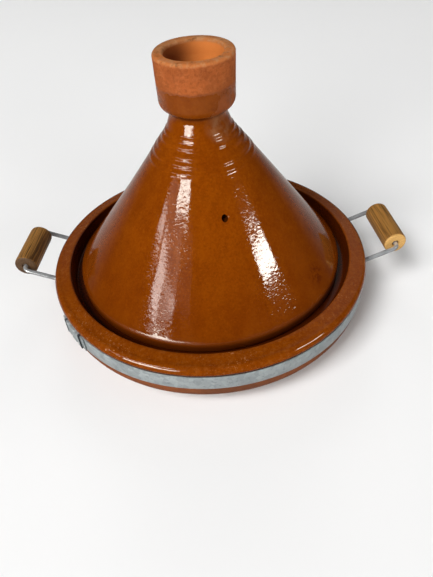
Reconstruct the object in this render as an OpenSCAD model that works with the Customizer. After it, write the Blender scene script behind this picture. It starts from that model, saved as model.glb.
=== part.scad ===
// Cooking tagine: a shallow clay dish with a steel strap and two wire handles, and a conical lid.
// The origin is the centre of the flat base, on the surface that the dish stands on. +Z is up.

/* [Dish] */
// Outer diameter of the rim
dish_d = 300; // [290:1:310]
// Height from the base to the top of the rim
dish_h = 55; // [54:0.5:60]
// Diameter of the flat base
base_d = 224; // [200:1:240]
// Thickness of the floor
floor_t = 10; // [8:0.5:13]
// Width of the rim across its top
rim_w = 16.5; // [15:0.5:18]
// Radius of the rounded outer edge of the rim
rim_round = 5.4; // [5.2:0.1:6]
// Depth of the ledge that carries the lid, below the top of the rim
ledge_drop = 13; // [12:0.5:14]
// Width of the ledge
ledge_w = 17; // [15:0.5:19]

/* [Lid] */
// Gap between the edge of the lid and the rim
lid_gap = 9.5; // [8:0.5:11]
// Height of the lid from its foot to the top of its cup
lid_h = 197.4; // [190:0.2:210]
// Thickness of the cone's wall, measured level
cone_wall = 9.5; // [7:0.5:11]
// How far the side of the cone hollows inward halfway up
cone_sag = 1.4; // [0:0.1:3]
// Diameter of the shoulder, where the cone turns into the neck
shoulder_d = 73; // [68:1:78]
// Diameter of the neck at its narrowest
neck_d = 46.4; // [42:0.2:50]
// Diameter of the steam vent
vent_d = 5; // [3:0.1:6]
// Height of the steam vent above the foot of the lid
vent_h = 89; // [70:1:100]
// Direction of the steam vent, in degrees round from +X
vent_az = 283; // [0:1:359]

/* [Throwing rings] */
// Number of rings that the potter's finger left below the neck
ring_count = 5; // [3:1:5]
// Height from one ring to the next
ring_pitch = 5.3; // [4.8:0.1:5.4]
// How far a ring stands out
ring_h = 0.2; // [0.1:0.1:0.8]

/* [Cup] */
// Outer diameter of the cup at its mouth
cup_d = 62.4; // [58:0.2:66]
// Height of the cup above the neck
cup_h = 47.8; // [44:0.2:50]
// Depth of the hollow in the cup
cup_depth = 27; // [20:0.5:30]
// Width of the cup's rim
cup_wall = 8.2; // [6:0.1:9]

/* [Strap] */
// Width of the steel strap round the dish
strap_w = 14.5; // [13:0.5:15]
// Thickness of the strap
strap_t = 0.9; // [0.6:0.1:1.2]
// Direction of the seal that joins the ends of the strap, in degrees round from +X
seal_az = 214; // [205:1:240]
// Length of the seal along the strap
seal_l = 27; // [22:1:32]

/* [Handles] */
// Direction of the right handle, in degrees round from +X
right_az = 4.2; // [-5:0.1:10]
// Direction of the left handle, in degrees round from +X
left_az = 173.1; // [170:0.1:185]
// How far the bar of the right handle stands out from the rim
right_reach = 28.9; // [26:0.1:34]
// How far the bar of the left handle stands out from the rim
left_reach = 27.7; // [26:0.1:34]
// Upward tilt of the handles, in degrees
tilt = 20; // [15:1:22]
// Distance between the two legs of the right handle, centre to centre
right_gap = 64; // [64:0.5:66]
// Distance between the two legs of the left handle, centre to centre
left_gap = 61; // [61:0.5:66]
// Diameter of the handle wire
wire_d = 4.2; // [3.8:0.1:4.4]
// Diameter of a wooden grip
grip_d = 22; // [18:0.5:24]
// Length of the right grip
right_grip_l = 54.4; // [44:0.2:54.4]
// Length of the left grip
left_grip_l = 51; // [44:0.2:51.4]
// How far the right grip sits past the middle of its bar
right_grip_shift = 0.8; // [0:0.1:1]

/* [Hidden] */
$fn = 96;
fit = 0.05;          // gap between pieces that touch

// Dish
dish_r = dish_d / 2;
rim_lip = 0.45;      // how far the rim stands out past the strap
wall_r = dish_r - rim_lip - strap_t - fit;
curve_h = 26;        // height of the curve from the base up to the straight wall
rim_c = [dish_r - rim_round, dish_h - 7.5];
lip_round = 2;       // radius of the rim's inner edge
rim_in = dish_r - rim_w;
ledge_z = dish_h - ledge_drop;
ledge_out = rim_in - 2.5;
ledge_in = ledge_out - ledge_w;
ledge_round = 3;
bowl_floor_r = ledge_in - 14;

// Handles, each [direction, reach, leg gap, grip length, grip shift], in a frame whose X points
// away from the dish through the middle of the handle
right_handle = [right_az, right_reach, right_gap, right_grip_l, right_grip_shift];
left_handle = [left_az, left_reach, left_gap, left_grip_l, 0];
wire_r = wire_d / 2;
foot_r = wall_r - wire_r - 0.1;      // radius of the groove's centre line
foot_z = rim_c.y - 10;
foot_l = 14;                         // length of a foot behind the strap
bend_r = 5;                          // radius of the bends beside the grip
knuckle_r = wire_r + 0.15;           // the sharp bend at a foot swells a little
groove_r = wire_r + 0.3;

// Strap
strap_z = rim_c.y - 4.4 - strap_w;
strap_in = wall_r + fit;
strap_out = strap_in + strap_t;
seal_t = 0.8;
seal_out = strap_out + strap_t + fit + seal_t;
seal_angle = 2 * asin(seal_l / 2 / seal_out);
tail_angle = seal_angle + 3;                            // the strap's end shows on both sides

// Lid
lid_z = ledge_z + 0.2;
lid_r = rim_in - lid_gap;
edge_z = lid_z + 7.3;                                   // height where the edge starts to turn
edge_round = 8;
cone_angle = 37;                                        // slope of the cone's normal
cone_start = [lid_r - edge_round * (1 - cos(cone_angle)), edge_z + edge_round * sin(cone_angle)];
lid_top = lid_z + lid_h;
neck_z = lid_top - cup_h;
neck_r = neck_d / 2;
shoulder_z = neck_z - 23.3;
shoulder_r = shoulder_d / 2;
ring_z = neck_z - 11 - (ring_count - 1) * ring_pitch;   // height of the lowest ring
dome_z = neck_z - 16;                                   // where the inside starts to close
dome_h = 10;
cup_r = cup_d / 2;
cup_in = cup_r - cup_wall;
cup_low_r = cup_r - 0.9;
cup_round = 8;                       // radius of the cup's lower edge, which tucks under
cup_low_z = neck_z + 13;
cup_lip = 2.3;
crease_z = neck_z + 4.4;             // height where the neck meets the underside of the cup

// Points along an arc about c, both ends included
function arc(c, r, from, to, n) =
    [for (i = [0:n]) c + r * [cos(from + (to - from) * i / n), sin(from + (to - from) * i / n)]];

// Points along a quarter ellipse that leaves p level and arrives at q upright
function quarter(p, q, n) =
    [for (i = [0:n]) [p.x + (q.x - p.x) * sin(90 * i / n), q.y + (p.y - q.y) * cos(90 * i / n)]];

function reversed(list) = [for (i = [len(list) - 1:-1:0]) list[i]];

// Radius of the cone's side at height z
function cone_part(z) = (z - cone_start.y) / (shoulder_z - cone_start.y);
function cone_r(z) =
    cone_start.x + (shoulder_r - cone_start.x) * cone_part(z)
    - 4 * cone_sag * cone_part(z) * (1 - cone_part(z));
// Radius of the neck's side at height z
function neck_side_r(z) =
    neck_r + (shoulder_r - neck_r) * pow(max(0, (neck_z - z) / (neck_z - shoulder_z)), 1.5);
function side_r(z) = z < cone_start.y ? lid_r : z < shoulder_z ? cone_r(z) : neck_side_r(z);
// How far the rings stand out at height z
function ring(z) = ring_h * (1 + cos(360 * (z - ring_z) / ring_pitch)) / 2;

// Where a handle's leg bends into its foot, and where its bar is
function half_gap(handle) = handle[2] / 2;
function foot_x(handle) = sqrt(foot_r ^ 2 - half_gap(handle) ^ 2);
function bar_x(handle) = dish_r + handle[1];
function bar_z(handle) = foot_z + (bar_x(handle) - foot_x(handle)) * tan(tilt);
function leg_l(handle) = (bar_x(handle) - foot_x(handle)) / cos(tilt);

module dish_section() {
    rim_start = -acos((wall_r - rim_c.x) / rim_round);
    difference() {
        polygon(concat(
            [[0, 0]],
            quarter([base_d / 2, 0], [wall_r, curve_h], 9),
            arc(rim_c, rim_round, rim_start, 96, 10),
            arc([rim_in + lip_round, dish_h - lip_round], lip_round, 96, 180, 6),
            arc([ledge_out - 2, ledge_z + 2], 2, 0, -90, 4),
            arc([ledge_in + ledge_round, ledge_z - ledge_round], ledge_round, 90, 165, 5),
            reversed(quarter([bowl_floor_r, floor_t], [ledge_in - 1, ledge_z - 8], 8)),
            [[0, floor_t]]
        ));
        // Groove behind the strap, where the feet of the handle wires lie
        translate([foot_r, foot_z]) circle(groove_r);
        translate([foot_r, foot_z - groove_r])
            square([dish_r - foot_r, groove_r + wire_r + 1.3]);
    }
}

module lid_section() {
    polygon(concat(
        arc([lid_r - 3, lid_z + 3], 3, -90, 0, 4),
        arc([lid_r - edge_round, edge_z], edge_round, 0, cone_angle, 4),
        [for (i = [1:9]) let (z = cone_start.y + (ring_z - ring_pitch / 2 - cone_start.y) * i / 10)
            [side_r(z), z]],
        [for (i = [0:6 * ring_count]) let (z = ring_z + ring_pitch * (i / 6 - 0.5))
            [side_r(z) + ring(z), z]],
        [for (i = [1:3]) let (z = neck_z - 8.35 + 2.7 * i) [side_r(z), z]],
        [[neck_r, crease_z]],
        arc([cup_low_r - cup_round, cup_low_z], cup_round, -80, 0, 6),
        arc([cup_r - cup_lip, lid_top - cup_lip], cup_lip, 0, 90, 5),
        arc([cup_in + 2.2, lid_top - 2.2], 2.2, 90, 180, 4),
        reversed(quarter([0, lid_top - cup_depth], [cup_in - 0.5, lid_top - 9], 8)),
        quarter_dome(),
        [for (i = [0:9]) let (z = dome_z - (dome_z - lid_z - 9) * i / 9)
            [side_r(z) - cone_wall, z]],
        [[lid_r - cone_wall, lid_z + 2], [lid_r - cone_wall + 1.5, lid_z]]
    ));
}

// Inside of the neck, from the axis out to the wall
function quarter_dome() =
    [for (i = [0:6]) let (r = side_r(dome_z) - cone_wall)
        [r * sin(90 * i / 7), dome_z + dome_h * cos(90 * i / 7)]];

module dish() {
    color([0.55, 0.27, 0.08]) rotate_extrude($fn = 180) dish_section();
}

module lid() {
    color([0.58, 0.29, 0.09]) difference() {
        rotate_extrude($fn = 180) lid_section();
        // The vent is pierced level through the wall
        rotate([0, 0, vent_az])
            translate([side_r(lid_z + vent_h) - cone_wall - 15, 0, lid_z + vent_h])
                rotate([0, 90, 0]) cylinder(h = cone_wall + 30, d = vent_d, $fn = 48);
    }
}

module at_handle(handle) {
    rotate([0, 0, handle[0]]) children();
}

// Puts its children in the handle's plane: X runs out along the legs, from the feet
module in_handle_plane(handle) {
    translate([foot_x(handle), 0, foot_z]) rotate([0, -tilt, 0]) children();
}

module strap() {
    color([0.62, 0.66, 0.66]) difference() {
        union() {
            rotate_extrude($fn = 180) translate([strap_in, strap_z]) square([strap_t, strap_w]);
            rotate([0, 0, seal_az - tail_angle / 2]) rotate_extrude(angle = tail_angle, $fn = 180)
                translate([strap_out - 0.1, strap_z]) square([strap_t + 0.1, strap_w]);
        }
        for (handle = [right_handle, left_handle], side = [-1, 1])
            at_handle(handle) in_handle_plane(handle) translate([0, side * half_gap(handle), 0])
                rotate([0, 90, 0]) cylinder(h = 12, d = wire_d + 0.8, $fn = 32);
    }
}

module seal_section() {
    lip_w = seal_out - strap_in - fit;
    translate([seal_out - seal_t, strap_z - fit - seal_t])
        square([seal_t, strap_w + 2 * (fit + seal_t)]);
    for (z = [strap_z - fit - seal_t, strap_z + strap_w + fit])
        translate([seal_out - lip_w, z]) square([lip_w, 0.7]);
}

// Folded steel clip round both ends of the strap, with two crimps in each edge
module strap_seal() {
    color([0.55, 0.58, 0.6]) difference() {
        rotate([0, 0, seal_az - seal_angle / 2])
            rotate_extrude(angle = seal_angle, $fn = 180) seal_section();
        for (crimp = [-1, 1], z = [strap_z - 1.2, strap_z + strap_w + 1.2])
            rotate([0, 0, seal_az + crimp * seal_angle / 5])
                translate([strap_out, 0, z]) rotate([0, 90, 0]) cylinder(h = 5, d = 4, $fn = 24);
    }
}

module handle_wire(handle) {
    half = half_gap(handle);
    straight = leg_l(handle) - bend_r;
    color([0.72, 0.73, 0.74]) at_handle(handle) {
        in_handle_plane(handle) {
            for (side = [-1, 1]) translate([0, side * half, 0]) {
                sphere(knuckle_r, $fn = 48);
                rotate([0, 90, 0]) cylinder(h = straight, r = wire_r, $fn = 48);
            }
            for (side = [0, 1]) mirror([0, side, 0])
                translate([straight, half - bend_r, 0]) rotate_extrude(angle = 90, $fn = 48)
                    translate([bend_r, 0]) circle(wire_r, $fn = 48);
            translate([leg_l(handle), 0, 0]) rotate([90, 0, 0])
                cylinder(h = 2 * (half - bend_r), r = wire_r, center = true, $fn = 48);
        }
        for (side = [0, 1]) mirror([0, side, 0]) translate([0, 0, foot_z])
            rotate([0, 0, asin(half / foot_r)])
                rotate_extrude(angle = foot_l / foot_r * 180 / PI, $fn = 180)
                    translate([foot_r, 0]) circle(wire_r, $fn = 48);
    }
}

// Turned wooden grip with rounded ends and a countersunk bore
module grip(handle) {
    round_r = 2.2;
    half = handle[3] / 2;
    bore_r = wire_r + 0.25;
    mouth_r = wire_r + 1.4;
    color([0.6, 0.42, 0.2]) at_handle(handle)
        translate([bar_x(handle), handle[4], bar_z(handle)]) rotate([90, 0, 0])
            rotate_extrude($fn = 96) polygon(concat(
                [[bore_r, -half + 3], [mouth_r, -half]],
                arc([grip_d / 2 - round_r, -half + round_r], round_r, -90, 0, 5),
                arc([grip_d / 2 - round_r, half - round_r], round_r, 0, 90, 5),
                [[mouth_r, half], [bore_r, half - 3]]
            ));
}

module right_handle_wire() {
    handle_wire(right_handle);
}

module left_handle_wire() {
    handle_wire(left_handle);
}

module right_grip() {
    grip(right_handle);
}

module left_grip() {
    grip(left_handle);
}

dish();
lid();
strap();
strap_seal();
right_handle_wire();
left_handle_wire();
right_grip();
left_grip();
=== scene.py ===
"""Looks for the tagine pot: glazed clay dish and lid, steel strap, wire handles and wooden grips."""
import math
from collections import namedtuple

import bmesh
import bpy
from mathutils import Matrix, Vector, noise


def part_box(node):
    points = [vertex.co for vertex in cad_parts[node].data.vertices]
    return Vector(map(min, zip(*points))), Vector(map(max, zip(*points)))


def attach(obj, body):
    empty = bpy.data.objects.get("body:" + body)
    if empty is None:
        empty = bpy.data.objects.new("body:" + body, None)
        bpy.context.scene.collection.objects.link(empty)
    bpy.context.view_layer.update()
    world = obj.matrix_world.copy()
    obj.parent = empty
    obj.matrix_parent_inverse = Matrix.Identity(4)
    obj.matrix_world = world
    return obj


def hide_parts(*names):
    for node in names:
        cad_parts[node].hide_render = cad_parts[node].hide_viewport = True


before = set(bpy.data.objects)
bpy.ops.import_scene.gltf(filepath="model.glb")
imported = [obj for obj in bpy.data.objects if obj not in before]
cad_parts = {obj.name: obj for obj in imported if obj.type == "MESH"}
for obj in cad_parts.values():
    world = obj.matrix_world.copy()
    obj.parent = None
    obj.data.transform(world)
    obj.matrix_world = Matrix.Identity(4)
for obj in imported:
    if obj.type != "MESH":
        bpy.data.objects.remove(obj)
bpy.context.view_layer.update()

# ---------------------------------------------------------------- sizes, in metres and degrees

MM = 0.001
dish_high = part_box("dish")[1]
lid_low, lid_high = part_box("lid")
strap_low, strap_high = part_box("strap")

RIM_R = dish_high.y
DISH_H = dish_high.z
BASE_R = 112 * MM
FLOOR_T = 10 * MM
RIM_ROUND = 5.4 * MM
RIM_IN = RIM_R - 16.5 * MM
RIM_C = (RIM_R - RIM_ROUND, DISH_H - 7.5 * MM)
WALL_R = RIM_R - 1.4 * MM
WALL_Z = 26 * MM
LEDGE_Z = DISH_H - 13 * MM
LEDGE_OUT = RIM_IN - 2.5 * MM
LEDGE_IN = LEDGE_OUT - 17 * MM

LID_Z = lid_low.z
LID_TOP = lid_high.z
LID_R = RIM_IN - 9.5 * MM
EDGE_Z = LID_Z + 7.3 * MM
EDGE_ROUND = 8 * MM
CONE_SLOPE = 37
CONE_WALL = 9.5 * MM
CONE_SAG = 1.4 * MM
NECK_Z = LID_TOP - 47.8 * MM
NECK_R = 23.2 * MM
SHOULDER_Z = NECK_Z - 23.3 * MM
SHOULDER_R = 36.5 * MM
DOME_Z = NECK_Z - 16 * MM
CREASE_Z = NECK_Z + 4.4 * MM
CUP_R = 31.2 * MM
CUP_LOW_R = CUP_R - 0.9 * MM
CUP_LOW_Z = NECK_Z + 13 * MM
CUP_ROUND = 8 * MM
CUP_LIP = 2.3 * MM
CUP_IN = 23 * MM
CUP_DEPTH = 27 * MM
GLAZE_LINE = LID_TOP - 22 * MM
VENT_R = 2.5 * MM
VENT_Z = LID_Z + 89 * MM
VENT_AZ = 283

RING_PITCH = 5.3 * MM
RING_COUNT = 5
RING_Z = NECK_Z - 11 * MM - (RING_COUNT - 1) * RING_PITCH
RING_H = 0.50 * MM
RING_W = 1.45 * MM

STRAP_Z = (strap_low.z, strap_high.z)
STRAP_IN = WALL_R + 0.05 * MM
STRAP_T = 0.9 * MM
SEAL_AZ = 214
SEAL_L = 27 * MM
TAIL_HALF = 7.2
CRIMP_DOWN = 0.9 * MM
CRIMP_IN = 0.35 * MM
CRIMP_PLACES = (-0.42, 0.42)    # along the seal, whose ends are -1 and 1
CRIMP_SPREAD = 0.09

WIRE_R = 2.1 * MM
TILT = 20
FOOT_R = WALL_R - WIRE_R - 0.1 * MM
FOOT_Z = RIM_C[1] - 10 * MM
GRIP_R = 11 * MM
Handle = namedtuple("Handle", "side azimuth reach gap grip_length grip_shift")
RIGHT = Handle("right", 4.2, 28.9 * MM, 64 * MM, 54.4 * MM, 0.8 * MM)
LEFT = Handle("left", 173.1, 27.7 * MM, 61 * MM, 51 * MM, 0.0)

RINGS_PER_METRE = 520   # year rings across the wood, before each grip's own fineness
FLOOR_GAP = 0.2 * MM    # the floor lies this far under the dish
STEPS = 264             # divisions round a revolved piece
LIGHT_TARGET = Vector((0, 0, 0.1))


# ---------------------------------------------------------------- camera, floor and light

def add_camera():
    """The camera looks down at the rim's centre, with a small turn, nod and lean of its own."""
    distance, elevation = 508.8 * MM, 39.52
    yaw, nod, lean = -0.49, -4.14, 4.43

    rise = math.radians(elevation)
    spot = Vector((0, -distance * math.cos(rise), distance * math.sin(rise)))
    ahead = -spot.normalized()
    right = ahead.cross(Vector((0, 0, 1))).normalized()
    up = right.cross(ahead)
    turn = Matrix.Rotation(math.radians(yaw), 3, up)
    ahead, right = turn @ ahead, turn @ right
    turn = Matrix.Rotation(math.radians(nod), 3, right)
    ahead, up = turn @ ahead, turn @ up
    turn = Matrix.Rotation(math.radians(lean), 3, ahead)
    right, up = turn @ right, turn @ up

    data = bpy.data.cameras.new("camera")
    data.sensor_width = 36
    data.lens = 32.0627
    data.clip_start = 0.01
    camera = bpy.data.objects.new("camera", data)
    place = Matrix((right, up, -ahead)).transposed().to_4x4()
    place.translation = spot + Vector((0, 0, RIM_C[1]))
    camera.matrix_world = place
    bpy.context.scene.collection.objects.link(camera)
    bpy.context.scene.camera = camera


def toward(azimuth, elevation):
    """Unit vector in that direction, given in degrees."""
    turn, rise = math.radians(azimuth), math.radians(elevation)
    return Vector((math.cos(turn) * math.cos(rise), math.sin(turn) * math.cos(rise), math.sin(rise)))


def aimed_light(name, azimuth, elevation, distance, size, tilt=0.0):
    """An area lamp that faces the pot from that direction, turned by tilt about its own axis."""
    data = bpy.data.lights.new(name, "AREA")
    data.shape = "RECTANGLE"
    data.size, data.size_y = size
    lamp = bpy.data.objects.new(name, data)
    away = toward(azimuth, elevation)
    lamp.location = LIGHT_TARGET + away * distance
    lamp.rotation_mode = "QUATERNION"
    facing = (-away).to_track_quat("-Z", "Y")
    lamp.rotation_quaternion = facing @ Matrix.Rotation(math.radians(tilt), 3, "Z").to_quaternion()
    bpy.context.scene.collection.objects.link(lamp)
    return lamp


def add_soft_light(name, azimuth, elevation, level, colour=(1, 1, 1)):
    """Soft light that shades but isn't seen in the gloss. At level 1 white paper facing it is white."""
    distance, width = 8.0, 3.4
    lamp = aimed_light(name, azimuth, elevation, distance, (width, width))
    lamp.data.energy = math.pi ** 2 * distance ** 2 * level
    lamp.data.color = colour
    lamp.visible_glossy = False


def add_window(name, azimuth, elevation, angles, tilt, glow, colour=(1, 1, 1)):
    """A bright panel seen in the gloss only. angles are its width and height in degrees."""
    distance = 4.0
    width, height = (2 * distance * math.tan(math.radians(angle / 2)) for angle in angles)
    lamp = aimed_light(name, azimuth, elevation, distance, (width, height), tilt)
    lamp.data.energy = glow * math.pi * width * height
    lamp.data.color = colour
    lamp.visible_diffuse = False


def room_light(g):
    """How bright the room is in each direction: pale ground low behind the pot, two dim walls."""
    direction = g.add("ShaderNodeTexCoord", {}).outputs["Generated"]
    parts = g.add("ShaderNodeSeparateXYZ", {"Vector": direction}).outputs

    def glow(azimuth, elevation, inner, outer, level):
        """Light from round that direction: full out to inner degrees from it, none past outer."""
        middle = toward(azimuth, elevation)
        node = g.add("ShaderNodeVectorMath", {0: direction, 1: middle}, operation="DOT_PRODUCT")
        near, far = math.cos(math.radians(inner)), math.cos(math.radians(outer))
        return g.part_of(node.outputs["Value"], far, near, level)

    behind = g.ramp(parts["Y"], -0.1, 0.6)
    pale_ground = g.times(behind, g.ramp(parts["Z"], -0.40, 0.08, 0.42, 0.0))
    ground = g.ramp(parts["Z"], -0.45, -0.2, 0.05, 0.012)
    right_wall, back_wall = glow(52, 36, 10, 32, 0.17), glow(112, 14, 8, 30, 0.09)
    return g.sum((pale_ground, 1.0), (ground, 1.0), (right_wall, 1.0), (back_wall, 1.0))


def add_room():
    """A dim room for the gloss. Looked at directly, it is a plain pale backdrop."""
    world = bpy.data.worlds.new("room")
    g = Graph(world)
    room = g.tree.nodes["Background"]
    g.put(room.inputs["Strength"], room_light(g))
    g.put(room.inputs["Color"], (1.0, 0.98, 0.95))
    backdrop = g.add("ShaderNodeBackground", {"Color": (0.80, 0.80, 0.80)})
    seen = g.add("ShaderNodeLightPath", {}).outputs["Is Camera Ray"]
    both = {0: seen, 1: room.outputs["Background"], 2: backdrop.outputs["Background"]}
    mix = g.add("ShaderNodeMixShader", both)
    g.put(g.tree.nodes["World Output"].inputs["Surface"], mix.outputs["Shader"])
    bpy.context.scene.world = world


def add_lights():
    """Soft light from the left, windows and panes for the gloss, and the room."""
    add_soft_light("key_low", -120, 20, 0.50)
    add_soft_light("key_high", -140, 50, 0.95)
    add_soft_light("front_fill", -55, 14, 0.30)
    add_soft_light("right_fill", 0, 3, 0.42)
    add_soft_light("back_fill", 90, 35, 0.15)
    lamp, pane = (1.0, 0.98, 0.88), (1.0, 0.92, 0.86)
    add_window("lamp_right", -29.8, 23.7, (18.0, 3.9), -14, 26, lamp)
    add_window("lamp_left", -130.5, 35.0, (18, 2.8), 12, 18, lamp)
    add_window("window_low", -131, 8, (34, 13), 0, 15, lamp)
    add_window("window_neck", -133, 17.5, (12, 7), 0, 17, lamp)
    add_window("pane_near", -145.5, 24.2, (9, 5), 0, 8, pane)
    add_window("pane_far", -158, 24.9, (8, 3.4), 8, 6, pane)
    add_window("pane_thin", -133.5, 25.9, (13, 1.8), 0, 3.5, pane)
    add_window("pane_foot", -144, 21.8, (8, 2.0), 0, 4, pane)
    add_window("pane_foot_dim", -133.5, 23.9, (12, 2.2), 10, 2.5, pane)
    add_window("pane_dim", -143, 28.5, (28, 8), 5, 0.75, pane)
    add_window("pane_faint", -121, 30, (16, 8), 5, 0.22, pane)
    add_room()
    bpy.context.scene.view_settings.view_transform = "Standard"


# ---------------------------------------------------------------- materials

class Graph:
    """A material's or world's node tree, with short calls for the nodes that are used here."""

    def __init__(self, block):
        self.block = block
        self.block.use_nodes = True
        self.tree = block.node_tree
        self.source = None

    def put(self, socket, value):
        if isinstance(value, bpy.types.NodeSocket):
            self.tree.links.new(value, socket)
        elif hasattr(value, "__len__") and len(value) == 3 and socket.type == "RGBA":
            socket.default_value = (*value, 1)
        else:
            socket.default_value = value

    def add(self, kind, inputs, **settings):
        node = self.tree.nodes.new(kind)
        for key, value in settings.items():
            setattr(node, key, value)
        for key, value in inputs.items():
            self.put(node.inputs[key], value)
        return node

    def finish(self, **inputs):
        """Sets the shader's inputs, named as base_color for Base Color, and gives the material."""
        sockets = self.tree.nodes["Principled BSDF"].inputs
        for key, value in inputs.items():
            self.put(sockets[key.replace("_", " ").title().replace("Ior", "IOR")], value)
        return self.block

    def point(self):
        """The point in the part's frame, or the mesh's own record of it where source names one."""
        if self.source:
            return self.add("ShaderNodeAttribute", {}, attribute_name=self.source).outputs["Vector"]
        return self.add("ShaderNodeTexCoord", {}).outputs["Object"]

    def place(self, scale=(1, 1, 1)):
        """That point, stretched by scale."""
        return self.add("ShaderNodeMapping", {"Vector": self.point(), "Scale": scale}).outputs["Vector"]

    def noise(self, scale, detail=3, roughness=0.5, point=None, warp=0.0):
        node = self.add("ShaderNodeTexNoise", {"Scale": scale, "Detail": detail})
        node.inputs["Roughness"].default_value = roughness
        node.inputs["Distortion"].default_value = warp
        self.put(node.inputs["Vector"], point or self.place())
        return node.outputs["Fac"]

    def cells(self, scale, feature="F1", output="Distance"):
        inputs = {"Scale": scale, "Vector": self.place()}
        return self.add("ShaderNodeTexVoronoi", inputs, feature=feature).outputs[output]

    def math(self, operation, *values):
        node = self.add("ShaderNodeMath", {}, operation=operation)
        for i, value in enumerate(values):
            self.put(node.inputs[i], value)
        return node.outputs["Value"]

    def ramp(self, value, low, high, to_low=0.0, to_high=1.0):
        """value from low to high becomes to_low to to_high, smoothly."""
        node = self.add("ShaderNodeMapRange", {"Value": value}, interpolation_type="SMOOTHSTEP")
        node.inputs["From Min"].default_value = low
        node.inputs["From Max"].default_value = high
        node.inputs["To Min"].default_value = to_low
        node.inputs["To Max"].default_value = to_high
        return node.outputs["Result"]

    def mixed(self, factor, a, b, kind, form):
        """a where factor is 0, b where it is 1. kind and form name the node's sockets to use."""
        node = self.add("ShaderNodeMix", {}, data_type=form)
        share = next(s for s in node.inputs if s.name == "Factor" and s.type == "VALUE")
        sockets = {s.name: s for s in node.inputs if s.type == kind}
        self.put(share, factor)
        self.put(sockets["A"], a)
        self.put(sockets["B"], b)
        return next(s for s in node.outputs if s.type == kind)

    def mix(self, factor, a, b):
        return self.mixed(factor, a, b, "RGBA", "RGBA")

    def blend(self, factor, a, b):
        return self.mixed(factor, a, b, "VALUE", "FLOAT")

    def bump(self, height, distance, normal=None):
        node = self.add("ShaderNodeBump", {"Height": height, "Distance": distance})
        if normal is not None:
            self.put(node.inputs["Normal"], normal)
        return node.outputs["Normal"]

    def sum(self, *terms):
        """The sum of (value, weight) pairs."""
        total = None
        for value, weight in terms:
            term = self.math("MULTIPLY", value, weight)
            total = term if total is None else self.math("ADD", total, term)
        return total

    def times(self, a, b):
        return self.math("MULTIPLY", a, b)

    def radius(self, a, b):
        """How far the point (a, b) is from zero."""
        return self.math("SQRT", self.math("ADD", self.times(a, a), self.times(b, b)))

    def part_of(self, value, low, high, share):
        """0 to share as value goes from low to high."""
        return self.ramp(value, low, high, 0.0, share)

    def near(self, place, inner, outer):
        """1 within inner of a place on the piece, 0 past outer. place is azimuth in degrees, radius
        in millimetres and height."""
        azimuth, reach, height = place
        spot = toward(azimuth, 0) * reach * MM + Vector((0, 0, height))
        node = self.add("ShaderNodeVectorMath", {0: self.point(), 1: spot}, operation="DISTANCE")
        return self.ramp(node.outputs["Value"], inner, outer, 1.0, 0.0)

    def part(self, axis):
        """One coordinate of the point in the piece's own frame."""
        return self.add("ShaderNodeSeparateXYZ", {"Vector": self.point()}).outputs[axis]


def new_material(name):
    return Graph(bpy.data.materials.new(name))


def bare_clay_parts(g):
    """Colour, roughness and height of unglazed terracotta."""
    blotch = g.noise(70, 4, 0.6)
    dust = g.noise(190, 4, 0.7)
    streak = g.noise(60, 3, 0.5, g.place((1, 1, 9)))
    mottle = g.noise(420, 3, 0.7)
    grain = g.noise(1500, 2, 0.6)
    colour = g.mix(g.ramp(blotch, 0.35, 0.65), (0.262, 0.066, 0.0150), (0.340, 0.088, 0.0205))
    colour = g.mix(g.part_of(dust, 0.45, 0.7, 0.40), colour, (0.40, 0.130, 0.040))
    colour = g.mix(g.part_of(streak, 0.4, 0.7, 0.30), colour, (0.23, 0.056, 0.0130))
    colour = g.mix(g.part_of(mottle, 0.45, 0.68, 0.65), colour, (0.19, 0.045, 0.0110))
    colour = g.mix(g.part_of(grain, 0.45, 0.75, 0.35), colour, (0.18, 0.045, 0.0120))
    colour = g.mix(g.part_of(grain, 0.45, 0.25, 0.35), colour, (0.42, 0.130, 0.034))
    pits = g.ramp(g.cells(420), 0.05, 0.16)
    height = g.sum((grain, 0.5), (pits, 0.25), (streak, 0.5), (mottle, 0.4))
    return colour, g.ramp(grain, 0.2, 0.8, 0.72, 0.92), height


def glaze_parts(g):
    """Colour, roughness and height of the transparent honey glaze over the clay."""
    pool = g.noise(34, 5, 0.6, warp=0.6)
    run = g.noise(120, 4, 0.55, g.place((1, 1, 0.35)))
    mottle = g.noise(330, 4, 0.7)
    speck = g.noise(620, 2, 0.5)
    colour = g.mix(g.ramp(pool, 0.3, 0.7), (0.150, 0.0276, 0.0003), (0.188, 0.0380, 0.0005))
    colour = g.mix(g.part_of(run, 0.4, 0.7, 0.5), colour, (0.215, 0.0480, 0.0010))
    colour = g.mix(g.part_of(mottle, 0.42, 0.66, 0.34), colour, (0.112, 0.0190, 0.0002))
    colour = g.mix(g.part_of(speck, 0.54, 0.68, 0.25), colour, (0.095, 0.0165, 0.0004))
    colour = g.mix(g.part_of(speck, 0.44, 0.32, 0.35), colour, (0.240, 0.0580, 0.0030))
    ripple = g.noise(130, 2, 0.5)
    peel = g.noise(400, 0.6, 0.4)
    turned = g.noise(1, 2, 0.5, g.place((40, 40, 480)))
    wrinkle = g.ramp(g.cells(430, feature="DISTANCE_TO_EDGE"), 0.0, 0.12)
    crazed = g.ramp(g.noise(240, 3, 0.6), 0.42, 0.60)
    lump = g.ramp(g.noise(470, 0, 0.5, g.place((1, 1, 1.3))), 0.64, 0.76)
    creased = g.times(wrinkle, crazed)
    height = g.sum((ripple, 0.22), (peel, 0.50), (turned, 0.04), (lump, 0.16), (creased, 0.07))
    return colour, g.ramp(pool, 0.3, 0.7, 0.035, 0.07), height


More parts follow.
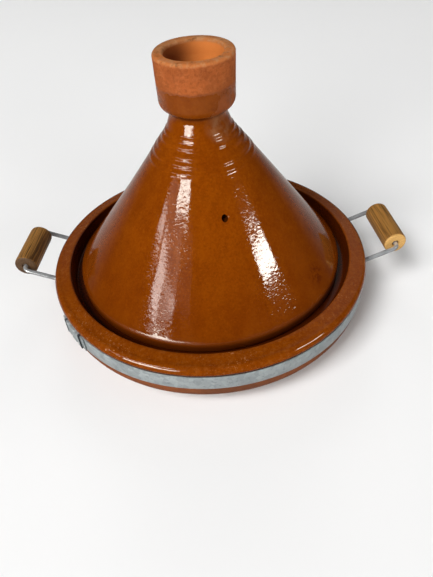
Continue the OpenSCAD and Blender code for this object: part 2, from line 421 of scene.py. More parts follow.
def make_bare_clay():
    """The unglazed underside and outer wall, with painted shade: darkened all over in mottled patches,
    and nearly black above the strap's top edge.
    """
    g = new_material("bare_clay")
    colour, roughness, height = bare_clay_parts(g)
    # Painted shade: the bare clay is darkened in mottled patches, standing in for the shade on the outer
    # wall below the strap.
    painted_shade_mottle = g.ramp(g.noise(22, 3, 0.6), 0.3, 0.7, 0.45, 0.75)
    colour = g.mix(painted_shade_mottle, colour, (0.085, 0.036, 0.020))
    # Painted shade: nearly black from the strap's top edge upward, for the shadow in the gap under the
    # rim.
    painted_shade_above_strap = g.ramp(g.part("Z"), STRAP_Z[1] - 1 * MM, STRAP_Z[1] + 0.2 * MM, 0.0, 0.9)
    colour = g.mix(painted_shade_above_strap, colour, (0.020, 0.010, 0.005))
    return g.finish(base_color=colour, roughness=roughness, ior=1.2, normal=g.bump(height, 0.00025))


def make_dish_glaze():
    """The dish's glaze, with painted shade along the seat of the lid and in the bowl, and rubbed on the
    rim.
    """
    g = new_material("dish_glaze")
    colour, roughness, height = glaze_parts(g)
    radius = g.radius(g.part("X"), g.part("Y"))
    on_rim = g.ramp(radius, RIM_IN, RIM_IN + 1.5 * MM)
    # Painted shade: inside the rim's inner edge the dish is painted nearly black, both the seat of the
    # lid and the bowl under it.
    painted_shade_seat = g.ramp(radius, RIM_IN, RIM_IN + 1.5 * MM, 0.85, 0.0)
    colour = g.mix(painted_shade_seat, colour, (0.040, 0.0046, 0.0005))
    rubbed = g.times(on_rim, g.part_of(g.noise(260, 4, 0.8), 0.48, 0.64, 0.6))
    colour = g.mix(rubbed, colour, (0.225, 0.060, 0.008))
    fleck = g.times(on_rim, g.part_of(g.noise(480, 3, 0.8), 0.57, 0.68, 0.45))
    colour = g.mix(fleck, colour, (0.060, 0.0130, 0.0015))
    patchy = g.times(on_rim, g.ramp(g.noise(26, 2, 0.5), 0.46, 0.60))
    chip = g.times(g.part_of(g.noise(520, 3, 0.8, g.place((1.1, 1.1, 1.1))), 0.60, 0.67, 0.9), patchy)
    colour = g.mix(chip, colour, (0.40, 0.180, 0.070))
    normal = g.bump(g.sum((height, 1.0), (chip, -0.5), (fleck, -0.3)), 0.00009)
    return g.finish(base_color=colour, roughness=roughness, ior=1.55, normal=normal)


def glaze_cover(g, z):
    """1 where the glaze covers the cup, 0 where it is bare. It thins out round the back."""
    out = toward(-105, 0)
    x, y = g.part("X"), g.part("Y")
    front = g.math("DIVIDE", g.sum((x, out.x), (y, out.y)), g.radius(x, y))
    patches = g.ramp(g.noise(95, 4, 0.7), 0.38, 0.60, 0.25, 0.95)
    thick = g.blend(g.ramp(front, 0.55, 0.92), patches, 1.0)
    line = g.sum((z, 1.0), (g.noise(60, 4, 0.7), 5 * MM), (g.noise(330, 3, 0.7), 3 * MM))
    below = g.ramp(line, GLAZE_LINE + 2.4 * MM, GLAZE_LINE + 5.6 * MM, 1.0, 0.0)
    on_cup = g.ramp(z, CREASE_Z - 1 * MM, CREASE_Z + 1 * MM)
    return g.times(below, g.blend(on_cup, 1.0, thick))


def add_marks(g, colour, roughness):
    """The steam vent's bore, painted nearly black as shade, and its chip, a dusty patch at the neck and a
    smudge low on the cone.
    """
    along, across = toward(VENT_AZ, 0), toward(VENT_AZ + 90, 0)
    x, y, z = g.part("X"), g.part("Y"), g.part("Z")
    side = g.sum((x, across.x), (y, across.y))
    front = g.ramp(g.sum((x, along.x), (y, along.y)), 0, 5 * MM)
    rise = g.math("SUBTRACT", z, VENT_Z)
    # Painted shade: the vent's bore and a thin ring of glaze round it are painted nearly black.
    bore = g.times(front, g.ramp(g.radius(side, rise), VENT_R - 0.1 * MM, VENT_R + 0.2 * MM, 1.0, 0.0))
    colour = g.mix(bore, colour, (0.010, 0.002, 0.0005))
    chip = g.radius(g.math("SUBTRACT", side, VENT_R + 0.8 * MM), g.math("SUBTRACT", rise, 0.6 * MM))
    chip = g.times(front, g.ramp(chip, 0.3 * MM, 0.9 * MM, 0.8, 0.0))
    colour = g.mix(chip, colour, (0.30, 0.13, 0.05))
    cloud = g.ramp(g.noise(120, 4, 0.7), 0.30, 0.66)
    dust = g.times(g.near((-52, 26, NECK_Z - 5 * MM), 5 * MM, 15 * MM), cloud)
    colour = g.mix(g.times(dust, 0.7), colour, (0.225, 0.100, 0.042))
    roughness = g.blend(dust, roughness, 0.16)
    low = g.near((-36, 113, LID_Z + 26 * MM), 3 * MM, 14 * MM)
    smudge = g.times(low, g.ramp(g.noise(210, 4, 0.7), 0.42, 0.58))
    colour = g.mix(g.times(smudge, 0.8), colour, (0.070, 0.0085, 0.0008))
    return colour, roughness


def lid_glaze_parts(g, z):
    """The glaze on the lid: painted shade towards the bottom, at the lower edge and round the crease
    under the cup; thin on the cup, worn dull at the edge.
    """
    colour, roughness, height = glaze_parts(g)
    # Painted shade: the glaze gets darker towards the bottom of the lid, for light that falls off
    # downwards.
    painted_shade_low = g.ramp(z, LID_Z + 15 * MM, LID_Z + 90 * MM, 0.36, 0.0)
    colour = g.mix(painted_shade_low, colour, (0.098, 0.0160, 0.0002))
    # Painted shade: a dark band at the lid's lower edge, where it curves under.
    edge = g.ramp(z, EDGE_Z - 2 * MM, EDGE_Z + 7 * MM, 0.55, 0.0)
    colour = g.mix(edge, colour, (0.070, 0.0110, 0.0004))
    on_cup = g.ramp(z, CREASE_Z, CREASE_Z + 2 * MM)
    roughness = g.blend(on_cup, roughness, 0.20)
    worn_edge = g.ramp(z, EDGE_Z + 2.5 * MM, EDGE_Z + 6 * MM, 1.0, 0.0)
    roughness = g.blend(worn_edge, roughness, 0.38)
    thin = g.times(on_cup, g.ramp(g.noise(150, 4, 0.65), 0.35, 0.7, 0.10, 0.45))
    colour = g.mix(thin, colour, (0.205, 0.052, 0.0050))
    # Painted shade: dark round the crease under the cup.
    crease = g.ramp(g.math("ABSOLUTE", g.math("SUBTRACT", z, CREASE_Z)), 0.5 * MM, 2.2 * MM, 0.75, 0.0)
    colour = g.mix(crease, colour, (0.040, 0.0070, 0.0006))
    colour, roughness = add_marks(g, colour, roughness)
    return colour, roughness, height


def cup_clay_parts(g, z):
    """The bare clay of the cup: lighter inside, partly fresh clay and partly painted light, with painted
    shade on one side of the inside; rubbed and sooty on its lip.
    """
    colour, roughness, height = bare_clay_parts(g)
    radius = g.radius(g.part("X"), g.part("Y"))
    high = g.ramp(z, LID_TOP - CUP_DEPTH - 1 * MM, LID_TOP - CUP_DEPTH)
    cup_inside = g.times(high, g.ramp(radius, CUP_IN + 1 * MM, CUP_IN + 4 * MM, 1.0, 0.0))
    # Lighter inside the cup: partly fresh clay, partly painted light.
    colour = g.mix(g.times(cup_inside, 0.8), colour, (0.60, 0.195, 0.043))
    # Painted shade: a dark patch on the inside wall that faces away from the light.
    painted_shade_inside = g.times(cup_inside, g.near((150, 24, LID_TOP - 9 * MM), 8 * MM, 34 * MM))
    colour = g.mix(g.times(painted_shade_inside, 0.85), colour, (0.120, 0.030, 0.0070))
    lip = g.ramp(z, LID_TOP - 3.4 * MM, LID_TOP - 1.0 * MM)
    colour = g.mix(g.times(lip, 0.6), colour, (0.47, 0.150, 0.040))
    back = g.times(lip, g.ramp(g.part("Y"), -12 * MM, 10 * MM))
    colour = g.mix(g.times(back, 0.55), colour, (0.25, 0.112, 0.046))
    worn = g.times(lip, g.ramp(g.noise(240, 4, 0.75), 0.42, 0.62))
    colour = g.mix(g.times(worn, 0.6), colour, (0.38, 0.195, 0.090))
    sooty = g.times(lip, g.ramp(g.noise(200, 4, 0.75, g.place((1, 1.2, 1))), 0.52, 0.68))
    colour = g.mix(g.times(sooty, 0.6), colour, (0.085, 0.045, 0.018))
    return colour, roughness, height


def make_lid_glaze():
    """The lid's glaze, and the bare clay of its cup where the glaze stops."""
    g = new_material("lid_glaze")
    z = g.part("Z")
    colour, roughness, height = lid_glaze_parts(g, z)
    bare_colour, bare_roughness, bare_height = cup_clay_parts(g, z)
    glazed = glaze_cover(g, z)
    bare = g.math("SUBTRACT", 1.0, glazed)
    colour = g.mix(bare, colour, bare_colour)
    roughness = g.blend(bare, roughness, bare_roughness)
    normal = g.bump(g.times(height, glazed), 0.00007)
    normal = g.bump(g.times(bare_height, bare), 0.00025, normal)
    ior = g.blend(bare, 1.55, 1.2)
    return g.finish(base_color=colour, roughness=roughness, ior=ior, normal=normal)


def make_galvanised(name, dark, light):
    """Zinc in flat crystals between two greys, stained and scratched."""
    g = new_material(name)
    spangle = g.cells(240, output="Color")
    tone = g.add("ShaderNodeSeparateColor", {"Color": spangle}).outputs["Red"]
    stain = g.noise(45, 4, 0.6, g.place((1, 1, 2)))
    spot = g.noise(330, 3, 0.7)
    scratch = g.noise(900, 2, 0.5, g.place((0.08, 0.08, 1)))
    colour = g.mix(tone, dark, light)
    colour = g.mix(g.part_of(stain, 0.5, 0.8, 0.4), colour, tuple(0.85 * c for c in dark))
    colour = g.mix(g.part_of(spot, 0.52, 0.70, 0.6), colour, tuple(0.6 * c for c in dark))
    roughness = g.blend(tone, 0.38, 0.55)
    normal = g.bump(g.sum((scratch, 0.5), (tone, 0.3)), 0.00004)
    return g.finish(base_color=colour, roughness=roughness, metallic=0.2, normal=normal)


def make_wire_steel():
    """Bright drawn wire with duller patches."""
    g = new_material("wire_steel")
    drawn = g.noise(700, 3, 0.6)
    smudge = g.noise(90, 3, 0.6)
    colour = g.mix(g.ramp(smudge, 0.35, 0.7), (0.74, 0.76, 0.77), (0.46, 0.47, 0.48))
    roughness = g.ramp(smudge, 0.3, 0.7, 0.14, 0.26)
    normal = g.bump(drawn, 0.00003)
    return g.finish(base_color=colour, roughness=roughness, metallic=0.68, normal=normal)


def make_wood(name, fineness, early, late, end_early, end_late):
    """Turned hardwood in the given colours of its early and late wood, along the side and on the ends.
    The grip's axis is Z of its grain attribute, and the tree's heart lies beside it."""
    g = new_material(name)
    g.source = "grain"
    parts = g.add("ShaderNodeSeparateXYZ", {"Vector": g.point()})
    wander = g.noise(60, 2, 0.5, g.place((1, 1, 0.12)))
    x = g.math("ADD", parts.outputs["X"], 19 * MM)
    y = g.math("ADD", parts.outputs["Y"], 7 * MM)
    radius = g.sum((g.radius(x, y), 1.0), (wander, 4 * MM))
    ring = g.math("FRACT", g.times(radius, RINGS_PER_METRE * fineness))
    dark = g.times(g.ramp(ring, 0.45, 0.9), g.ramp(ring, 1.0, 0.93))
    pores = g.noise(620 * fineness, 2, 0.6, g.place((1, 1, 0.03)))
    fibre = g.noise(420 * fineness, 4, 0.6, g.place((1, 1, 0.05)))
    colour = g.mix(dark, early, late)
    pale = tuple(1.45 * c for c in early)
    colour = g.mix(g.part_of(fibre, 0.35, 0.7, 0.5), colour, pale)
    deep = tuple(0.45 * c for c in late)
    colour = g.mix(g.part_of(pores, 0.48, 0.62, 0.85), colour, deep)
    end = g.ramp(g.add("ShaderNodeAttribute", {}, attribute_name="at_end").outputs["Fac"], 0.1, 0.9)
    dots = g.noise(1300, 2, 0.5, g.place((1, 1, 0.3)))
    end_colour = g.mix(dark, end_early, end_late)
    end_colour = g.mix(g.part_of(dots, 0.55, 0.7, 0.5), end_colour, late)
    colour = g.mix(end, colour, end_colour)
    height = g.sum((fibre, 0.5), (g.ramp(pores, 0.5, 0.66), -0.6))
    roughness = g.ramp(fibre, 0.3, 0.7, 0.48, 0.66)
    return g.finish(base_color=colour, roughness=roughness, normal=g.bump(height, 0.00018))


def make_floor_material():
    g = new_material("floor")
    cloud = g.noise(3, 2, 0.5)
    colour = g.mix(cloud, (0.86, 0.86, 0.86), (0.89, 0.89, 0.885))
    return g.finish(base_color=colour, roughness=0.8)


# ---------------------------------------------------------------- mesh tools

def arc(centre, radius, start, end, count):
    """Points along an arc, both ends included, angles in degrees."""
    angles = [math.radians(start + (end - start) * i / count) for i in range(count + 1)]
    return [(centre[0] + radius * math.cos(a), centre[1] + radius * math.sin(a)) for a in angles]


def quarter(start, end, count):
    """A quarter ellipse that leaves start level and arrives at end upright."""
    angles = [math.pi / 2 * i / count for i in range(count + 1)]
    return [(start[0] + (end[0] - start[0]) * math.sin(a), end[1] + (start[1] - end[1]) * math.cos(a))
            for a in angles]


def spaced(outline, step):
    """The outline with points added so that none are further apart than step."""
    out = [outline[0]]
    for a, b in zip(outline, outline[1:]):
        parts = max(1, math.ceil(math.dist(a, b) / step))
        out += [(a[0] + (b[0] - a[0]) * i / parts, a[1] + (b[1] - a[1]) * i / parts)
                for i in range(1, parts + 1)]
    return out


def new_object(name, mesh, materials):
    for material in materials:
        mesh.materials.append(material)
    piece = bpy.data.objects.new(name, mesh)
    bpy.context.scene.collection.objects.link(piece)
    return piece


def smooth(mesh, angle=38):
    mesh.shade_smooth()
    mesh.set_sharp_from_angle(angle=math.radians(angle))


def revolve(name, outline, materials, shape, material_at=None, steps=STEPS):
    """Turns an outline of (radius, height) about Z. shape(radius, height, angle) gives each vertex.
    An outline that starts and ends on the axis makes a closed solid."""
    vertices, faces, kinds, rows = [], [], [], []
    for r, z in outline:
        count = 1 if r < 1e-6 else steps
        rows.append((len(vertices), count))
        for k in range(count):
            angle = 2 * math.pi * k / steps
            vertices.append(shape(r, z, angle) if count > 1 else Vector((0, 0, z)))
    for i, ((a, na), (b, nb)) in enumerate(zip(rows, rows[1:])):
        kind = material_at(outline[i], outline[i + 1]) if material_at else 0
        for k in range(steps):
            n = (k + 1) % steps
            if na == 1 and nb == 1:
                continue
            if na == 1:
                faces.append((a, b + n, b + k))
            elif nb == 1:
                faces.append((a + k, a + n, b))
            else:
                faces.append((a + k, a + n, b + n, b + k))
            kinds.append(kind)
    mesh = bpy.data.meshes.new(name)
    mesh.from_pydata(vertices, [], faces)
    mesh.polygons.foreach_set("material_index", kinds)
    mesh.update()
    return new_object(name, mesh, materials)


def polar(r, z, angle):
    return Vector((r * math.cos(angle), r * math.sin(angle), z))


def skin(name, rings, materials, crease_angle=None, closed=False):
    """Joins rings of equally many points into one piece, with flat ends unless it closes on itself."""
    size = len(rings[0])
    vertices = [point for ring in rings for point in ring]
    faces = []
    for i in range(len(rings) if closed else len(rings) - 1):
        a, b = i * size, (i + 1) % len(rings) * size
        faces += [(a + k, a + (k + 1) % size, b + (k + 1) % size, b + k) for k in range(size)]
    if not closed:
        faces.append(tuple(reversed(range(size))))
        faces.append(tuple(range(len(vertices) - size, len(vertices))))
    mesh = bpy.data.meshes.new(name)
    mesh.from_pydata(vertices, [], faces)
    mesh.update()
    if crease_angle:
        smooth(mesh, crease_angle)
    return new_object(name, mesh, materials)


def cut(piece, cutter):
    """Takes the cutter's solid out of the piece, for good, and removes the cutter."""
    step = piece.modifiers.new("cut", "BOOLEAN")
    step.operation, step.solver, step.object = "DIFFERENCE", "EXACT", cutter
    bpy.context.view_layer.update()
    depsgraph = bpy.context.evaluated_depsgraph_get()
    mesh = bpy.data.meshes.new_from_object(piece.evaluated_get(depsgraph))
    piece.modifiers.clear()
    old, piece.data = piece.data, mesh
    bpy.data.meshes.remove(old)
    bpy.data.objects.remove(cutter)


def rod(name, start, end, radius, sides=32):
    """A plain round bar, used only to cut holes."""
    start, end = Vector(start), Vector(end)
    mesh = bpy.data.meshes.new(name)
    shape = bmesh.new()
    bmesh.ops.create_cone(shape, cap_ends=True, segments=sides, radius1=radius, radius2=radius,
                          depth=(end - start).length)
    shape.transform((end - start).to_track_quat("Z", "Y").to_matrix().to_4x4())
    shape.transform(Matrix.Translation((start + end) / 2))
    shape.to_mesh(mesh)
    shape.free()
    return new_object(name, mesh, [])


def rounded(points, radius, step=8):
    """The path with its corners turned into arcs, a point about every step degrees."""
    out = [points[0]]
    for before, corner, after in zip(points, points[1:], points[2:]):
        u, v = (before - corner).normalized(), (after - corner).normalized()
        half = u.angle(v) / 2
        reach = radius / math.tan(half)
        middle = corner + (u + v).normalized() * (radius / math.sin(half))
        first, last = corner + u * reach - middle, corner + v * reach - middle
        axis, sweep = first.cross(last).normalized(), math.pi - 2 * half
        count = max(2, round(math.degrees(sweep) / step))
        out += [middle + Matrix.Rotation(sweep * i / count, 3, axis) @ first
                for i in range(count + 1)]
    return out + [points[-1]]


def tube(name, points, radius, material, sides=20):
    """A round wire along the points, with rounded ends."""
    ring = [(math.cos(2 * math.pi * k / sides), math.sin(2 * math.pi * k / sides)) for k in range(sides)]
    ahead = (points[1] - points[0]).normalized()
    across = ahead.orthogonal().normalized()
    stations = []
    for i, point in enumerate(points):
        after = (points[min(i + 1, len(points) - 1)] - points[max(i - 1, 0)]).normalized()
        across = (ahead.rotation_difference(after) @ across).normalized()
        ahead = after
        stations.append((point, ahead, across))
    caps = []
    for (point, direction, side), sign in ((stations[0], -1), (stations[-1], 1)):
        cap = [(point + direction * sign * radius * math.sin(t) * 0.5, direction, side, math.cos(t))
               for t in (math.radians(a) for a in (30, 60, 80))]
        caps.append(cap)
    rows = list(reversed(caps[0])) + [(p, d, s, 1.0) for p, d, s in stations] + caps[1]
    rings = [[point + (side * x + direction.cross(side) * y) * radius * scale for x, y in ring]
             for point, direction, side, scale in rows]
    return skin(name, rings, [material], crease_angle=50)


def finish_piece(piece, body, slot, *nodes):
    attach(piece, body)
    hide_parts(*nodes)


# ---------------------------------------------------------------- dish

def wobble(z, angle, size, seed):
    """Slow unevenness of a hand-thrown wall, the same at the start and the end of a turn."""
    point = Vector((math.cos(angle) * 1.6, math.sin(angle) * 1.6, z * 22 + seed))
    return size * noise.noise(point)


def throwing_lines(z, angle, pitch, seed):
    """Fine level lines that the fingers leave, a spiral that rises by one pitch a turn."""
    turn = z / pitch - angle / (2 * math.pi)
    strength = 0.5 + 0.5 * noise.noise(Vector((seed, z * 60, math.sin(angle))))
    return math.cos(2 * math.pi * turn) * strength


def dish_outline():
    rim_start = -math.degrees(math.acos((WALL_R - RIM_C[0]) / RIM_ROUND))
    lip = 2 * MM
    groove_r = WIRE_R + 0.3 * MM
    groove_top = FOOT_Z + WIRE_R + 1.3 * MM
    outside = quarter((BASE_R, 0), (WALL_R, WALL_Z), 28)
    groove = [(WALL_R, FOOT_Z - groove_r)] + arc((FOOT_R, FOOT_Z), groove_r, -90, -270, 12)
    groove += [(FOOT_R + 1 * MM, groove_top), (WALL_R, groove_top)]
    rim = arc(RIM_C, RIM_ROUND, rim_start, 96, 26)
    inner = arc((RIM_IN + lip, DISH_H - lip), lip, 96, 180, 10)
    ledge = arc((LEDGE_OUT - lip, LEDGE_Z + lip), lip, 0, -90, 8)
    step = arc((LEDGE_IN + 3 * MM, LEDGE_Z - 3 * MM), 3 * MM, 90, 165, 10)
    bowl = quarter((LEDGE_IN - 14 * MM, FLOOR_T), (LEDGE_IN - 1 * MM, LEDGE_Z - 8 * MM), 20)
    outline = [(0, 0)] + outside + groove + rim + inner + ledge + step + bowl[::-1] + [(0, FLOOR_T)]
    return spaced(outline, 2.4 * MM)


def dish_shape(r, z, angle):
    top = max(0.0, min(1.0, (z - WALL_Z) / (DISH_H - WALL_Z)))
    inside = r < LEDGE_OUT + 1 * MM and z > FLOOR_T - 1 * MM
    behind_strap = r > WALL_R - 4 * MM and z < RIM_C[1] - 4 * MM
    r += wobble(z, angle, 0.35 * MM, 3) * (0.4 if behind_strap else 1)
    if inside and r > 20 * MM:
        r += 0.22 * MM * throwing_lines(z + r * 0.4, angle, 6.5 * MM, 5)
        z += 0.15 * MM * throwing_lines(r, angle, 8 * MM, 7) * (1 - top)
    if z > RIM_C[1]:
        z += 0.35 * MM * (noise.noise(Vector((math.cos(angle) * 1.9, math.sin(angle) * 1.9, 11))) - 0.3)
    r = min(r, RIM_R)
    return polar(r, min(z, DISH_H), angle)


def dish_kind(a, b):
    """1, bare, on the underside and on the outside below the rim. 0, glazed, elsewhere."""
    under = a[1] < FLOOR_T - 1 * MM
    outside = a[0] > RIM_IN + 6 * MM
    return int((under or outside) and b[1] < RIM_C[1] - 2.2 * MM)


def add_dish(glaze, clay):
    piece = revolve("glazed_dish", dish_outline(), [glaze, clay], dish_shape, dish_kind)
    smooth(piece.data)
    finish_piece(piece, "root", "glazed_clay", "dish")


# ---------------------------------------------------------------- lid

def side_radius(z):
    """Radius of the lid's outer side at height z, from its edge up to the neck."""
    start = (LID_R - EDGE_ROUND * (1 - math.cos(math.radians(CONE_SLOPE))),
             EDGE_Z + EDGE_ROUND * math.sin(math.radians(CONE_SLOPE)))
    if z < start[1]:
        return LID_R
    if z < SHOULDER_Z:
        t = (z - start[1]) / (SHOULDER_Z - start[1])
        return start[0] + (SHOULDER_R - start[0]) * t - 4 * CONE_SAG * t * (1 - t)
    t = max(0, (NECK_Z - z) / (NECK_Z - SHOULDER_Z))
    straight = 10 * MM / (NECK_Z - SHOULDER_Z)
    curve = max(t, straight) ** 1.5 * min(1, t / straight)
    return NECK_R + (SHOULDER_R - NECK_R) * curve


def lid_outline():
    cone_end = EDGE_Z + EDGE_ROUND * math.sin(math.radians(CONE_SLOPE))
    side = []
    z = cone_end + 1.5 * MM
    while z < NECK_Z - 1.5 * MM:
        side.append((side_radius(z), z))
        z += 0.5 * MM if z > RING_Z - RING_PITCH else 1.7 * MM
    crease = [(NECK_R + 0.05 * MM, NECK_Z + 0.5 * MM), (NECK_R, CREASE_Z - 0.7 * MM),
              (NECK_R + 0.15 * MM, CREASE_Z)]
    cup_low = arc((CUP_LOW_R - CUP_ROUND, CUP_LOW_Z), CUP_ROUND, -80, 0, 16)
    cup_lip = arc((CUP_R - CUP_LIP, LID_TOP - CUP_LIP), CUP_LIP, 0, 90, 12)
    cup_inner = arc((CUP_IN + 2.2 * MM, LID_TOP - 2.2 * MM), 2.2 * MM, 90, 180, 8)
    hollow = quarter((0, LID_TOP - CUP_DEPTH), (CUP_IN - 0.5 * MM, LID_TOP - 9 * MM), 18)
    outside = arc((LID_R - 3 * MM, LID_Z + 3 * MM), 3 * MM, -90, 0, 8)
    outside += arc((LID_R - EDGE_ROUND, EDGE_Z), EDGE_ROUND, 0, CONE_SLOPE, 8)
    outside += side + crease + cup_low + cup_lip + cup_inner + hollow[::-1]
    r = side_radius(DOME_Z) - CONE_WALL
    dome = [(r * math.sin(math.radians(a)), DOME_Z + 10 * MM * math.cos(math.radians(a)))
            for a in range(0, 81, 10)]
    count = 40
    inside = [(side_radius(z) - CONE_WALL, z)
              for z in (DOME_Z - (DOME_Z - LID_Z - 9 * MM) * i / count for i in range(count + 1))]
    foot = [(LID_R - CONE_WALL, LID_Z + 2 * MM)]
    foot += arc((LID_R - CONE_WALL + 1.5 * MM, LID_Z + 1.5 * MM), 1.5 * MM, 180, 270, 5)
    outside = spaced(outside, 2.3 * MM)
    return outside, dome + spaced(inside + foot, 3 * MM)


def throwing_rings(z, angle):
    """How far the finger rings below the neck stand out here. Each wanders a little round the lid."""
    rise = 0.0
    for i in range(RING_COUNT):
        here = Vector((math.cos(angle) * 1.3, math.sin(angle) * 1.3, 10 + 3 * i))
        middle = RING_Z + i * RING_PITCH + 0.9 * MM * noise.noise(here)
        height = RING_H * (1 + 0.8 * noise.noise(here + Vector((5, 0, 0))))
        rise += height * math.exp(-((z - middle) / RING_W) ** 2)
    return rise


def lid_shape(r, z, angle):
    outer = r > side_radius(min(z, NECK_Z)) - CONE_WALL / 2
    height = (z - LID_Z) / (NECK_Z - LID_Z)
    if z < NECK_Z and outer:
        r += throwing_rings(z, angle) + 0.006 * MM * throwing_lines(z, angle, 4.1 * MM, 2)
    if z < NECK_Z and not outer and r > 10 * MM:
        r += 0.3 * MM * throwing_lines(z, angle, 7 * MM, 9)
    r += wobble(z, angle, 0.4 * MM, 8)
    point = polar(r, z, angle)
    lean = math.sin(math.pi * max(0.0, min(1.0, height))) if outer else 0.0
    point.x += 1.0 * MM * lean
    return point


def add_lid(glaze, clay):
    """The lid's outline runs from the dome's middle down the inside, round the edge and up to the cup."""
    outside, inside = lid_outline()
    foot_points = 5
    bare = set(inside + outside[:foot_points])
    piece = revolve("glazed_lid", inside + outside, [glaze, clay], lid_shape,
                    lambda a, b: int(a in bare))
    turn = math.radians(VENT_AZ)
    reach = side_radius(VENT_Z)
    cutter = rod("vent", polar(reach - CONE_WALL - 14 * MM, VENT_Z, turn),
                 polar(reach + 15 * MM, VENT_Z, turn), VENT_R)
    cut(piece, cutter)
    smooth(piece.data)
    finish_piece(piece, "lid", "glazed_clay", "lid")


# ---------------------------------------------------------------- strap and seal

def strap_band(name, inner, start, end, material, lift=None):
    """A flat steel band with softened edges along an arc, closed when it goes all the way round.
    lift(angle) moves it outward."""
    outer = inner + STRAP_T
    corner = 0.22 * MM
    low, high = STRAP_Z
    section = arc((outer - corner, low + corner), corner, -90, 0, 3)
    section += arc((outer - corner, high - corner), corner, 0, 90, 3)
    section += arc((inner + corner, high - corner), corner, 90, 180, 3)
    section += arc((inner + corner, low + corner), corner, 180, 270, 3)
    whole = end - start == 360
    count = round((end - start) * 2)
    rings = []
    for i in range(count if whole else count + 1):
        angle = math.radians(start + (end - start) * i / count)
        wave = 0.12 * MM * noise.noise(Vector((math.cos(angle) * 3, math.sin(angle) * 3, 4)))
        out = lift(math.degrees(angle)) if lift else 0.0
        rings.append([polar(r + out, z + wave, angle) for r, z in reversed(section)])
    return skin(name, rings, [material], closed=whole)


def join(pieces):
    """Joins meshes into the first of them."""
    target = pieces[0]
    shape = bmesh.new()
    for piece in pieces:
        shape.from_mesh(piece.data)
    shape.to_mesh(target.data)
    shape.free()
    for piece in pieces[1:]:
        bpy.data.objects.remove(piece)
    return target


def handle_frame(handle):
    """Matrix of a handle's own frame: X out from the dish, Y along the rim, Z up."""
    return Matrix.Rotation(math.radians(handle.azimuth), 4, "Z")


def foot_point(handle, sign):
    """Where one leg of a handle bends into its foot, in the handle's own frame."""
    half = handle.gap / 2
    return Vector((math.sqrt(FOOT_R ** 2 - half ** 2), sign * half, FOOT_Z))


def bar_point(handle, along=0.0):
    """A point of a handle's bar, that far from its middle, in the handle's own frame."""
    foot = foot_point(handle, 1)
    out = RIM_R + handle.reach
    return Vector((out, along, foot.z + (out - foot.x) * math.tan(math.radians(TILT))))


def add_strap(steel):
    """The band with a hole for each leg of the handles, and its lapped end, which is TAIL_HALF
    degrees long each way from the middle of the seal."""
    band = strap_band("strap_band", STRAP_IN, 0, 360, steel)
    for handle in (RIGHT, LEFT):
        turn = handle_frame(handle)
        for sign in (-1, 1):
            foot = foot_point(handle, sign)
            direction = (bar_point(handle, sign * handle.gap / 2) - foot).normalized()
            cutter = rod("hole", turn @ foot, turn @ (foot + direction * 12 * MM), WIRE_R + 0.4 * MM)
            cut(band, cutter)

    def spring(angle):
        """The cut ends of the strap spring out a little past the seal."""
        off = abs((angle - SEAL_AZ + 180) % 360 - 180)
        return 0.05 * MM + 0.5 * MM * max(0.0, (off - 5.4) / 1.8) ** 2

    start, end = SEAL_AZ - TAIL_HALF, SEAL_AZ + TAIL_HALF
    tail = strap_band("tail", STRAP_IN + STRAP_T, start, end, steel, spring)
    piece = join([band, tail])
    piece.name = "steel_strap"
    smooth(piece.data, 30)
    finish_piece(piece, "root", "galvanised_steel", "strap")


def add_seal(steel, dark):
    """Folded clip round both ends of the strap, with two crimps in each edge and flared ends painted
    nearly black as shade.
    """
    thickness, gap = 0.8 * MM, 0.05 * MM
    inner = STRAP_IN + 2 * STRAP_T + 2 * gap
    low, high = STRAP_Z[0] - gap, STRAP_Z[1] + gap
    back = STRAP_IN + gap
    section = [(back, low), (inner, low), (inner, high), (back, high),
               (back, high + 0.7 * MM), (inner + thickness * 0.4, high + 0.7 * MM),
               (inner + thickness, high + 0.2 * MM), (inner + thickness, low - 0.2 * MM),
               (inner + thickness * 0.4, low - 0.7 * MM), (back, low - 0.7 * MM)]
    middle = (low + high) / 2
    half = SEAL_L / 2 / (inner + thickness)

    def pressed(r, z, crimp, flare):
        """A point of the section, pressed in by a crimp and pushed out by the flare at the ends."""
        if r < inner - 0.1 * MM:
            return r, z
        if abs(z - middle) > 0.9 * (high - middle):
            z -= math.copysign(crimp * CRIMP_DOWN, z - middle)
            r -= crimp * CRIMP_IN
        return r + flare, z

    count, painted_shade_rows = 54, 5
    rings = []
    for i in range(count + 1):
        u = 2 * i / count - 1
        crimp = max(math.exp(-((u - place) / CRIMP_SPREAD) ** 2) for place in CRIMP_PLACES)
        flare = 0.5 * MM * max(0.0, abs(u) - 0.82) / 0.18
        angle = math.radians(SEAL_AZ) + half * u
        rings.append([polar(*pressed(r, z, crimp, flare), angle) for r, z in section])
    piece = skin("strap_clip", rings, [steel, dark], crease_angle=30)
    # Painted shade: the rows at each end of the clip get the near-black steel.
    for face in piece.data.polygons:
        row = face.index // len(section)
        face.material_index = int(min(row, count - 1 - row) < painted_shade_rows)
    finish_piece(piece, "root", "seal_steel", "strap_seal")


# ---------------------------------------------------------------- handles

def add_wire(handle, steel):
    foot_length, knuckle, bend = 14 * MM, 2.4 * MM, 5 * MM
    ends = []
    for sign in (-1, 1):
        foot = foot_point(handle, sign)
        start = math.asin(abs(foot.y) / FOOT_R)
        stop = start + foot_length / FOOT_R
        curve = [Vector((FOOT_R * math.cos(a), sign * FOOT_R * math.sin(a), FOOT_Z))
                 for a in (stop + (start - stop) * i / 4 for i in range(5))]
        ends.append((curve, bar_point(handle, sign * handle.gap / 2)))
    path = ends[0][0] + [ends[0][1], ends[1][1]] + ends[1][0][::-1]
    corners = rounded_corners(path, {4: knuckle, 5: bend, 6: bend, 7: knuckle})
    turn = handle_frame(handle)
    piece = tube(handle.side + "_wire", [turn @ p for p in corners], WIRE_R, steel)
    finish_piece(piece, "root", "wire_steel", handle.side + "_handle_wire")


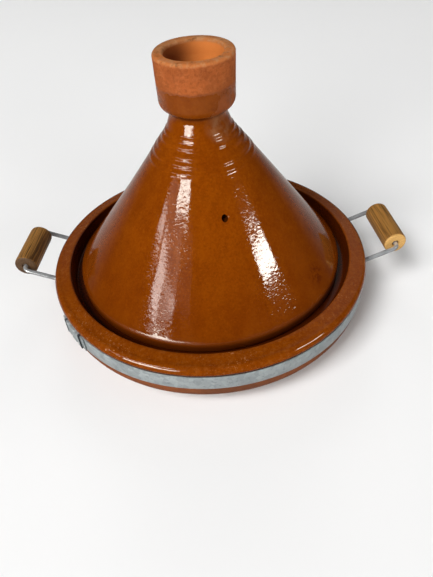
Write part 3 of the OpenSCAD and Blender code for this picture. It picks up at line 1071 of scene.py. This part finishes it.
def rounded_corners(path, radii):
    """The path with the corners at the given places rounded, each to its own radius."""
    out = []
    for i, point in enumerate(path):
        if i in radii:
            out += rounded([path[i - 1], point, path[i + 1]], radii[i])[1:-1]
        else:
            out.append(point)
    return out


def grip_outline(length):
    round_r, half = 2.2 * MM, length / 2
    bore, mouth = WIRE_R + 0.25 * MM, WIRE_R + 1.4 * MM
    right = [(bore, half - 3 * MM), (mouth - 0.3 * MM, half - 0.4 * MM), (mouth + 0.2 * MM, half)]
    end = arc((GRIP_R - round_r, half - round_r), round_r, 90, 0, 8)
    outline = spaced(right + end, 1.2 * MM)
    lower = [(r, -z) for r, z in outline]
    return lower, outline


def add_grip(handle, wood, seed, spin):
    """Its grain attribute keeps each point as it was before the grip was put in its place, along Z."""
    lower, upper = grip_outline(handle.grip_length)
    body = spaced([lower[-1], upper[-1]], 1.5 * MM)[1:-1]
    outline = lower + body + upper[::-1]

    def shape(r, z, angle):
        if r > GRIP_R - 1 * MM:
            fibre = noise.noise(Vector((math.cos(angle) * 14, math.sin(angle) * 14, z * 30 + seed)))
            flat = noise.noise(Vector((math.cos(angle), math.sin(angle), z * 12 + seed)))
            r += (0.05 * fibre - 0.05 + 0.12 * (flat - 0.4)) * MM
        return polar(r, z, angle)

    name = handle.side + "_wood_grip"
    piece = revolve(name, outline + [outline[0]], [wood], shape, steps=112)
    shape_mesh = bmesh.new()
    shape_mesh.from_mesh(piece.data)
    bmesh.ops.remove_doubles(shape_mesh, verts=shape_mesh.verts, dist=0.005 * MM)
    shape_mesh.to_mesh(piece.data)
    shape_mesh.free()
    smooth(piece.data, 40)
    grain = piece.data.attributes.new("grain", "FLOAT_VECTOR", "POINT")
    grain.data.foreach_set("vector", [c for v in piece.data.vertices for c in v.co])
    at_end = piece.data.attributes.new("at_end", "FLOAT", "POINT")
    start = handle.grip_length / 2 - 1.6 * MM
    at_end.data.foreach_set("value", [max(0.0, min(1.0, (abs(v.co.z) - start) / (1.2 * MM)))
                                      for v in piece.data.vertices])
    place = handle_frame(handle) @ Matrix.Translation(bar_point(handle, handle.grip_shift))
    piece.data.transform(place @ Matrix.Rotation(math.pi / 2, 4, "X")
                         @ Matrix.Rotation(math.radians(spin), 4, "Z"))
    finish_piece(piece, handle.side + "_grip", "wood", handle.side + "_grip")


# ---------------------------------------------------------------- the scene

def add_floor():
    shape = bmesh.new()
    bmesh.ops.create_grid(shape, x_segments=2, y_segments=2, size=6)
    mesh = bpy.data.meshes.new("floor")
    shape.to_mesh(mesh)
    shape.free()
    floor = new_object("floor", mesh, [make_floor_material()])
    floor.location.z = -FLOOR_GAP
    floor.visible_glossy = False


add_camera()
add_floor()
add_lights()
clay = make_bare_clay()
steel = make_galvanised("galvanised_steel", (0.245, 0.268, 0.272), (0.355, 0.385, 0.390))
# Near-black steel, painted shade for the clip's ends.
painted_shade_steel = make_galvanised("painted_shade_steel", (0.030, 0.036, 0.042), (0.070, 0.080, 0.090))
wire = make_wire_steel()
add_dish(make_dish_glaze(), clay)
add_lid(make_lid_glaze(), clay)
add_strap(steel)
add_seal(steel, painted_shade_steel)
# Painted light: the right grip's pale end colours stand for ends lit from the right.
light_wood_lit_ends = make_wood("light_wood_lit_ends", 1.2, (0.275, 0.128, 0.028), (0.165, 0.070, 0.014),
                       (0.62, 0.36, 0.105), (0.40, 0.20, 0.055))
# Painted shade: the left grip's near-black end colours stand for ends in shade.
dark_wood_shaded_ends = make_wood("dark_wood_shaded_ends", 1.35, (0.300, 0.142, 0.033), (0.075, 0.031, 0.008),
                      (0.090, 0.042, 0.013), (0.038, 0.017, 0.006))
for handle, wood, seed, spin in ((RIGHT, light_wood_lit_ends, 20, 70), (LEFT, dark_wood_shaded_ends, 40, 200)):
    add_wire(handle, wire)
    add_grip(handle, wood, seed, spin)
